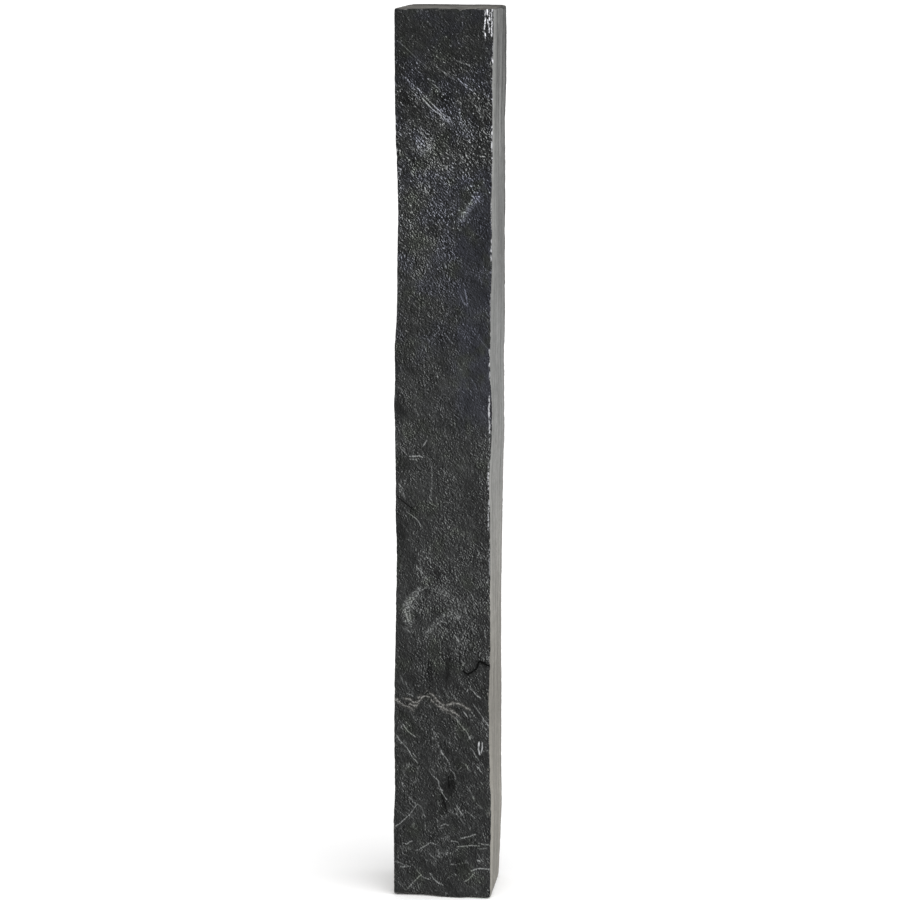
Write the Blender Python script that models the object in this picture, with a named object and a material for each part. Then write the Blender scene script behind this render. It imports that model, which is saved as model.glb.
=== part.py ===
# Slate palisade: one post of slate, split along its beds, standing on its end.
#
# X is the width, Y the depth with the front towards -Y, and Z the height. The
# origin is the middle of the base. The front and the back are riven faces with
# ledges where beds broke away. The two sides cut across the beds, so fine ribs
# run up them. The top and the base are flat cuts with chipped rims.

import math

import bmesh
import bpy
from mathutils import Vector, noise

# Driving dimensions, in metres
LENGTH = 1.000
WIDTH = 0.1105
DEPTH = 0.1000

# Size of the cells that the relief is shaped on, and how many triangles it is thinned to
CELL = 0.0028
TRIANGLES = 9400

# Upright edges: (height, how far the edge stands out from the plain block)
FRONT_LEFT_EDGE = [
    (0.000, 0.0018), (0.062, 0.0017), (0.080, 0.0026), (0.110, 0.0008),
    (0.202, 0.0013), (0.237, 0.0017), (0.289, 0.0003), (0.341, -0.0007),
    (0.392, -0.0022), (0.444, -0.0011), (0.478, -0.0021), (0.530, -0.0014),
    (0.562, -0.0004), (0.585, -0.0014), (0.630, -0.0016), (0.663, -0.0036),
    (0.713, -0.0037), (0.780, -0.0048), (0.813, -0.0040), (0.879, -0.0022),
    (0.944, -0.0008), (1.000, -0.0009),
]
FRONT_RIGHT_EDGE = [
    (0.000, -0.0011), (0.050, 0.0000), (0.102, 0.0010), (0.172, -0.0014),
    (0.207, -0.0026), (0.259, -0.0027), (0.276, -0.0016), (0.447, -0.0018),
    (0.464, -0.0031), (0.481, -0.0031), (0.515, -0.0009), (0.540, 0.0002),
    (0.582, -0.0010), (0.615, -0.0033), (0.632, -0.0023), (0.666, -0.0023),
    (0.716, -0.0002), (0.831, 0.0001), (0.929, 0.0000), (0.956, 0.0010),
    (1.000, 0.0009),
]
BACK_RIGHT_EDGE = [
    (0.000, -0.0062), (0.021, -0.0055), (0.057, -0.0046), (0.093, -0.0037),
    (0.129, -0.0046), (0.217, -0.0036), (0.271, -0.0041), (0.323, -0.0042),
    (0.393, -0.0033), (0.480, -0.0021), (0.515, -0.0010), (0.618, -0.0012),
    (0.653, 0.0001), (0.822, -0.0004), (0.873, -0.0011), (0.917, 0.0005),
    (1.000, 0.0003),
]
BACK_LEFT_EDGE = [
    (0.000, -0.0024), (0.060, 0.0004), (0.140, 0.0010), (0.210, -0.0018),
    (0.300, -0.0006), (0.410, 0.0008), (0.480, -0.0026), (0.560, -0.0010),
    (0.660, 0.0006), (0.760, -0.0014), (0.850, -0.0030), (0.940, -0.0012),
    (1.000, -0.0020),
]

# Broad lumps and hollows: (across, height, reach across, reach up, rise)
FRONT_LUMPS = [
    (-0.018, 0.905, 0.045, 0.110, 0.0012),
    (0.036, 0.650, 0.036, 0.130, -0.0018),
    (-0.032, 0.620, 0.040, 0.090, 0.0014),
    (0.020, 0.520, 0.060, 0.060, 0.0010),
    (0.030, 0.400, 0.040, 0.080, 0.0014),
    (-0.022, 0.122, 0.024, 0.036, -0.0016),
    (0.030, 0.080, 0.040, 0.060, 0.0016),
    (0.0100, 0.1295, 0.007, 0.014, -0.0016),
    (0.0436, 0.1780, 0.0035, 0.010, -0.0024),
    (0.008, 0.012, 0.030, 0.030, 0.0020),
]
BACK_LUMPS = [
    (0.020, 0.880, 0.050, 0.100, -0.0022),
    (-0.030, 0.740, 0.040, 0.120, 0.0018),
    (0.010, 0.560, 0.060, 0.090, -0.0016),
    (-0.020, 0.390, 0.045, 0.100, 0.0016),
    (0.030, 0.250, 0.040, 0.080, -0.0020),
    (-0.020, 0.110, 0.050, 0.070, 0.0014),
    (0.044, 0.640, 0.010, 0.030, -0.0024),
    (-0.048, 0.520, 0.012, 0.024, -0.0022),
]

# Ledges on the front, as points along each broken edge
LEFT_SPALL_EDGE = [
    (0.308, -0.062), (0.329, -0.048), (0.353, -0.041), (0.382, -0.033),
    (0.405, -0.029), (0.424, -0.024), (0.442, -0.031), (0.451, -0.043),
    (0.465, -0.062),
]
LEFT_SPALL_DEPTH = 0.0022
VEIN_LEDGE = [
    (-0.0565, 0.2311), (-0.0530, 0.2266), (-0.0439, 0.2212), (-0.0335, 0.2263),
    (-0.0244, 0.2278), (-0.0187, 0.2344), (-0.0107, 0.2284), (-0.0027, 0.2229),
    (0.0088, 0.2164), (0.0190, 0.2120), (0.0304, 0.2110), (0.0384, 0.2073),
    (0.0453, 0.2018), (0.0560, 0.1960),
]
VEIN_RIDGE = 0.0018
VEIN_RIDGE_REACH = 0.0034
VEIN_STEP = 0.0016
VEIN_FADE = 0.070
CRACK = [
    (0.0236, 0.2626), (0.0281, 0.2588), (0.0327, 0.2613), (0.0384, 0.2661),
    (0.0410, 0.2742), (0.0463, 0.2721), (0.0560, 0.2670),
]
CRACK_DEPTH = 0.0028
CRACK_REACH = 0.0034
SCAR_CENTRE = (0.004, 0.298)
SCAR_RINGS = [(0.048, 0.069, 0.0018), (0.019, 0.031, 0.0012)]

# The ledge that crosses the back: its height at the left and the right, and its depth
BACK_LEDGE = [(-0.060, 0.655), (-0.030, 0.640), (-0.012, 0.600), (0.014, 0.590),
              (0.030, 0.548), (0.060, 0.530)]
BACK_LEDGE_DEPTH = 0.0030
BACK_LEDGE_FADE = 0.260

# Grain of the riven faces, which runs down to the right, and the steps across it
GRAIN_TILT = math.radians(57)
GRAIN_LENGTH = 0.110
GRAIN_WIDTH = 0.034
BED_STEP = 0.0009
BEDS_CROSSED = 3.2
BED_RISE_SHARE = 0.18

# Ribs on the sides, one for each bed that the cut crosses
RIB_WIDTH = 0.0125
RIB_RISE = 0.0013
RIB_LENGTH = 0.160

# Chips along the arrises and round both ends
CHIP_LEAST = 0.0005
CHIP_MOST = 0.0036
CHIP_LENGTH = 0.028
RIM_CHIP_LEAST = 0.0006
RIM_CHIP_MOST = 0.0030
TOP_ROUGHNESS = 0.0004

# Finish
SLATE_COLOUR = (0.046, 0.047, 0.050, 1.0)
SLATE_ROUGHNESS = 0.62


def along(line, place):
    """Value of a hand-drawn line at this place, straight between its points."""
    for (low, low_value), (high, high_value) in zip(line, line[1:]):
        if place <= high:
            share = max(0.0, (place - low) / (high - low))
            return low_value + (high_value - low_value) * share
    return line[-1][1]


def eased(share):
    """Ease from 0 to 1 as the share goes from 0 to 1."""
    share = min(max(share, 0.0), 1.0)
    return share * share * (3.0 - 2.0 * share)


def lumps(rows, across, height):
    """Sum of the broad lumps and hollows of one face."""
    rise = 0.0
    for centre, middle, reach, reach_up, top in rows:
        away = math.hypot((across - centre) / reach, (height - middle) / reach_up)
        rise += top * eased(1.0 - away)
    return rise


def beds(across, height, start):
    """Terraces of a riven face: flats along the grain with a short step between them."""
    along_grain = across * math.cos(GRAIN_TILT) - height * math.sin(GRAIN_TILT)
    over_grain = across * math.sin(GRAIN_TILT) + height * math.cos(GRAIN_TILT)
    place = Vector((along_grain / GRAIN_LENGTH, over_grain / GRAIN_WIDTH, start))
    level = BEDS_CROSSED * noise.fractal(place, 0.8, 2.1, 4)
    flat = math.floor(level)
    return BED_STEP * (flat + eased((level - flat - 1.0 + BED_RISE_SHARE) / BED_RISE_SHARE))


def left_spall(across, height):
    """Hollow at the left edge where one bed flaked off."""
    if not LEFT_SPALL_EDGE[0][0] < height < LEFT_SPALL_EDGE[-1][0]:
        return 0.0
    return -LEFT_SPALL_DEPTH * eased((along(LEFT_SPALL_EDGE, height) - across) / 0.0035)


def vein_ledge(across, height):
    """Crinkled ridge across the face, with the beds above it set back."""
    above = height - along(VEIN_LEDGE, across)
    ridge = VEIN_RIDGE * eased(1.0 - abs(above) / VEIN_RIDGE_REACH)
    if above < 0.0:
        return ridge
    return ridge - VEIN_STEP * eased(above / VEIN_RIDGE_REACH) * eased(1.0 - above / VEIN_FADE)


def crack(across, height):
    """Open crack that runs in from the right arris."""
    if across < CRACK[0][0]:
        return 0.0
    away = abs(height - along(CRACK, across))
    return -CRACK_DEPTH * eased(1.0 - away / CRACK_REACH)


def shell_scar(across, height):
    """Shell-shaped scar with two curved steps, running out to the lower right."""
    from_x = across - SCAR_CENTRE[0]
    from_z = height - SCAR_CENTRE[1]
    drop = 0.0
    for reach, reach_up, depth in SCAR_RINGS:
        inside = 1.0 - math.hypot(from_x / reach, from_z / reach_up)
        towards_rim = eased(0.5 + 0.5 * (from_z / reach_up - from_x / reach))
        drop -= depth * eased(inside / 0.09) * towards_rim
    return drop


def front_relief(across, height):
    """How far the front stands out at this place."""
    rise = lumps(FRONT_LUMPS, across, height) + beds(across, height, 3.7)
    rise += left_spall(across, height) + vein_ledge(across, height)
    return rise + crack(across, height) + shell_scar(across, height)


def back_relief(across, height):
    """How far the back stands out at this place."""
    above = height - along(BACK_LEDGE, across)
    set_back = eased(above / 0.004) * eased(1.0 - above / BACK_LEDGE_FADE)
    rise = lumps(BACK_LUMPS, across, height) + beds(-across, height, 11.3)
    return rise - BACK_LEDGE_DEPTH * set_back


def side_relief(depth_place, height, start):
    """Ribs up a side, one to a bed, each fading in and out along the height."""
    wander = 0.0022 * noise.noise(Vector((start, 1.5, height / 0.120)))
    place = (depth_place + wander) / RIB_WIDTH
    rib = math.floor(place)
    here = RIB_RISE * noise.noise(Vector((rib * 3.17, start, height / RIB_LENGTH)))
    after = RIB_RISE * noise.noise(Vector(((rib + 1) * 3.17, start, height / RIB_LENGTH)))
    return here + (after - here) * eased((place - rib - 0.72) / 0.28)


def chip(place, length, least, most, start):
    """How much has broken off an edge at this place along it."""
    flake = noise.noise(Vector((start, 4.2, place / length)))
    nick = noise.noise(Vector((start, 9.1, place / (0.3 * length))))
    return least + most * max(0.0, flake) ** 1.5 + 0.5 * most * max(0.0, nick - 0.25)


def plain_block():
    """The block cut into cells on all six faces."""
    block = bmesh.new()
    bmesh.ops.create_cube(block, size=1.0)
    bmesh.ops.scale(block, vec=(WIDTH, DEPTH, LENGTH), verts=block.verts)
    bmesh.ops.translate(block, vec=(0.0, 0.0, 0.5 * LENGTH), verts=block.verts)
    for axis, size in enumerate((WIDTH, DEPTH, LENGTH)):
        parallel = []
        for edge in block.edges:
            run = (edge.verts[1].co - edge.verts[0].co).normalized()
            if abs(run[axis]) > 0.99:
                parallel.append(edge)
        cuts = round(size / CELL) - 1
        bmesh.ops.subdivide_edges(block, edges=parallel, cuts=cuts, use_grid_fill=True)
    return block


def riven(place):
    """Where a point of the plain block lies on the finished stone."""
    across, depth_place, height = place
    right = across / WIDTH + 0.5
    back = depth_place / DEPTH + 0.5
    on_left = right < 1e-4
    on_right = right > 1.0 - 1e-4
    on_front = back < 1e-4
    on_back = back > 1.0 - 1e-4
    on_base = height < 1e-5
    on_top = height > LENGTH - 1e-5

    left_out = (1.0 - back) * along(FRONT_LEFT_EDGE, height) + back * along(BACK_LEFT_EDGE, height)
    right_out = (1.0 - back) * along(FRONT_RIGHT_EDGE, height) + back * along(BACK_RIGHT_EDGE, height)
    x = across - (1.0 - right) * left_out + right * right_out
    y = depth_place
    z = height

    if on_front:
        y -= front_relief(across, height)
    if on_back:
        y += back_relief(across, height)
    if on_left:
        x -= side_relief(depth_place, height, 2.0)
    if on_right:
        x += side_relief(depth_place, height, 6.0)

    if (on_left or on_right) and (on_front or on_back):
        start = 20.0 + 10.0 * on_left + 5.0 * on_back
        broken = chip(height, CHIP_LENGTH, CHIP_LEAST, CHIP_MOST, start)
        x += broken if on_left else -broken
        y += 0.8 * broken if on_front else -0.8 * broken
    if on_base or on_top:
        x -= (right - 0.5) * 2.0 * rim_chip(place, on_left or on_right, 40.0 + 7.0 * on_top)
        y -= (back - 0.5) * 2.0 * rim_chip(place, on_front or on_back, 60.0 + 7.0 * on_top)
    if on_top:
        z += TOP_ROUGHNESS * (noise.fractal(Vector((across, depth_place, 0.0)) / 0.02, 1.0, 2.0, 3) - 1.0)
        if on_left or on_right or on_front or on_back:
            z -= 0.5 * rim_chip(place, True, 80.0)
    return Vector((x, y, z))


def rim_chip(place, on_rim, start):
    """How much has broken off the rim of the top or the base here."""
    if not on_rim:
        return 0.0
    return chip(place.x + 1.7 * place.y, CHIP_LENGTH, RIM_CHIP_LEAST, RIM_CHIP_MOST, start)


def slate_material():
    """Dark split slate."""
    material = bpy.data.materials.new("dark_slate")
    material.use_nodes = True
    surface = material.node_tree.nodes["Principled BSDF"]
    surface.inputs["Base Color"].default_value = SLATE_COLOUR
    surface.inputs["Roughness"].default_value = SLATE_ROUGHNESS
    surface.inputs["Metallic"].default_value = 0.0
    return material


def thinned(stone):
    """Thin the stone's mesh where it is nearly flat."""
    thin = stone.modifiers.new("Thin", "DECIMATE")
    thin.ratio = TRIANGLES / sum(len(face.vertices) - 2 for face in stone.data.polygons)
    bpy.context.view_layer.objects.active = stone
    bpy.ops.object.modifier_apply(modifier=thin.name)


def set_on_base(stone):
    """Flatten the base, and bring the middle of the stone's box over the origin."""
    points = stone.data.vertices
    for point in points:
        if point.co.z < 0.0003:
            point.co.z = 0.0
    for axis in (0, 1):
        places = [point.co[axis] for point in points]
        middle = 0.5 * (min(places) + max(places))
        for point in points:
            point.co[axis] -= middle


def make_slate_palisade():
    """The post of slate."""
    block = plain_block()
    for point in block.verts:
        point.co = riven(point.co)
    bmesh.ops.recalc_face_normals(block, faces=block.faces)
    mesh = bpy.data.meshes.new("slate_palisade")
    block.to_mesh(mesh)
    block.free()
    stone = bpy.data.objects.new("slate_palisade", mesh)
    bpy.context.scene.collection.objects.link(stone)
    mesh.materials.append(slate_material())
    thinned(stone)
    set_on_base(stone)
    return stone


for old in list(bpy.data.objects):
    bpy.data.objects.remove(old, do_unlink=True)
make_slate_palisade()
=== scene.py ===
"""Slate palisade: the finish of one riven slate post, laid out as an add-on.

The frame is the post's solid. The post shown is a finer copy of it, with crisp
ledges, grain and chips, and one slate finish: dark on the riven front and back,
with painted glints and painted light and shade of their fine relief in the colour,
pale and matt where the sides cut across the beds.
"""

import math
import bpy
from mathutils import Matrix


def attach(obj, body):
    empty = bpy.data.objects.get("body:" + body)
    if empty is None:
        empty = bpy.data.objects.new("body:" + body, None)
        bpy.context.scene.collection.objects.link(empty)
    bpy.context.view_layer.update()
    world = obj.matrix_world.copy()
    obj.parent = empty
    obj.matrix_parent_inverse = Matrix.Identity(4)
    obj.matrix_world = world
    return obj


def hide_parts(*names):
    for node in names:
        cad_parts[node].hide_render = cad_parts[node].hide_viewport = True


bl_info = {
    "name": "Slate palisade",
    "version": (1, 0, 0),
    "blender": (4, 5, 0),
    "location": "3D View > Sidebar > Slate",
    "description": "Gives a slate post its riven surface and sets it on a pale floor",
    "category": "Object",
}

import bpy
from bpy.props import FloatProperty, FloatVectorProperty, IntProperty, PointerProperty
from mathutils import Vector

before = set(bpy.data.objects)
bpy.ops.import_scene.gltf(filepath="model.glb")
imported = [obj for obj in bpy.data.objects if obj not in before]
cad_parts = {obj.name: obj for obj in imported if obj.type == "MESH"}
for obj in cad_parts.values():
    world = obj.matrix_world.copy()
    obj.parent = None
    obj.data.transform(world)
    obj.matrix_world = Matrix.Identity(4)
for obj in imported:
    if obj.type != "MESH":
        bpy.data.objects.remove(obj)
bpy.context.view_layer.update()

SOLID = "slate_palisade"
MILLIMETRE = 0.001
MERGE_WITHIN = 0.00001
FEWEST_TRIANGLES = 10000
FLOOR_SIZE = 120.0
FLOOR_DROP = 0.0002
AIM_ACROSS = 0.0002
LAMP_PLACE = (1.0, -1.5, 3.0)
LAMP_LEAN = (math.radians(32), 0.0, math.radians(38))

# A range is written as where something starts and where it is full.
# How far a face looks forward, sideways, up or down to count as front, side or end
FRONT_FACING = (-0.62, -0.78)
SIDE_FACING = (0.80, 0.93)
END_FACING = (0.60, 0.75)
UP_FACING = (0.60, 0.90)

# Where the sides, the top and the base start, and the front edge of the foot
SIDE_ACROSS = (0.038, 0.044)
TOP_EDGE = (0.990, 0.993)
BASE_EDGE = (0.010, 0.007)
FOOT_FRONT = (-0.038, -0.048)
FOOT_REACH = 0.014

# The grain runs down to the right: its lean, how it bends with height, and how it strays
GRAIN_LEAN = 0.5
GRAIN_BEND = 0.133
GRAIN_STRAY = 0.010

# How far the back's noises lie from the front's, and how far apart the painted relief shading compares a
# noise, which sets the side it seems lit from
BACK_START = 7.3
EMBOSS_STEP = (0.42, 0.0, 0.12)

# Beds that a slow noise is cut into, in relief and in light, and the step at a bed's end
BEDS = 9.0
LIGHT_BEDS = 3.4
BED_END = (0.84, 1.0)

# Pens that the marks are drawn with: (half width, how far it wanders)
MARK_PEN = (0.00105, 0.0004)
MARK_RIDGE_PEN = (0.0012, 0.0007)
CRACK_PEN = (0.0015, 0.0004)
CRACK_GROOVE_PEN = (0.0012, 0.0004)
VEIN_PEN = (0.0012, 0.0014)
VEIN_RIDGE_PEN = (0.0016, 0.0012)
HAZE_PEN = (0.0040, 0.0014)
SHADOW_PEN = (0.0016, 0.0012)
BAND_PEN = (0.0062, 0.0016)
GLINT_PEN = (0.0009, 0.0007)

# The share of a pen's width that is at full strength, and how far a shadow lies over the vein
PEN_CORE = 0.25
SHADOW_LIFT = 0.0021

# Marks in one lane: the gap between them, the lane's length, and how marks fade at their ends
LANE_GAP = 0.005
LANE_SPAN = 0.25
LANE_MARGIN = 0.006
MARK_FADE = 0.0010

# Relief of the front's marks
VEIN_RISE = 0.0007
CRACK_DEPTH = 0.0016
MARK_RISE = 0.0002
STRONG_MARK = 1.9
SPALL_DEPTH = 0.0006
SPALL_RAGGED = 0.005
SPALL_RIM = (-0.0006, 0.0008)

# Stops of light that each part of the riven texture gives, or takes where it is dark. Those of the
# scales, strokes, lips, hollows and crack are painted light and shade, and the shadow is painted over the
# vein
SCALE_LIGHT = 10.0
CROWDED_LIGHT = 17.0
STROKE_LIGHT = 6.0
LIP_LIGHT = 1.2
PAINTED_HOLLOW_SHADE = 1.3
BROAD_LIGHT = 1.6
BROAD_GRAIN_LIGHT = 2.0
LOW_THREAD_LIGHT = 1.6
PAINTED_CRACK_SHADE = 4.0
SHADOW_DARK = 1.8
SMOOTH_LIGHT = 0.20
ALL_DARK = 0.42
BRIGHTEST = 3.2

# Shares of crumbs and of crinkles in the small scales, and how much weaker the texture is
# where the face is smooth, where it is bared and higher up
CRUMBS = 0.65
CRINKLES = 0.5
SMOOTH_CALM = 0.45
BARED_CALM = 0.40
UPPER_CALM = 0.45

# Zones of the front: across, from this height up, and up to this height
SMOOTH_ZONE = ((0.010, 0.024), (0.52, 0.56), (0.84, 0.78))
BARED_ZONE = ((-0.026, -0.038), (0.22, 0.27), (0.46, 0.42))

# Heights where the upper part, the bluish part and the low pale threads start
UPPER = (0.69, 0.78)
BLUE_ABOVE = (0.50, 0.72)
LOW_THREADS = (0.27, 0.19)

# Heights where the sides get streakier and where they get warmer
SIDE_HIGH = (0.60, 1.0)
SIDE_WARM = (0.60, 0.20)

# Depth where the white glints start, towards the front
GLINTS_AHEAD = (-0.035, -0.040)

RIVEN_ROUGHNESS = 0.50
CUT_ROUGHNESS = 0.88
SHEEN = 0.09

# Edge of the thin flake that is missing at the front's left: (height, across)
SPALL_EDGE = [
    (0.308, -0.062), (0.329, -0.048), (0.353, -0.041), (0.382, -0.033),
    (0.405, -0.029), (0.424, -0.024), (0.442, -0.031), (0.451, -0.043),
    (0.465, -0.062),
]
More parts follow.
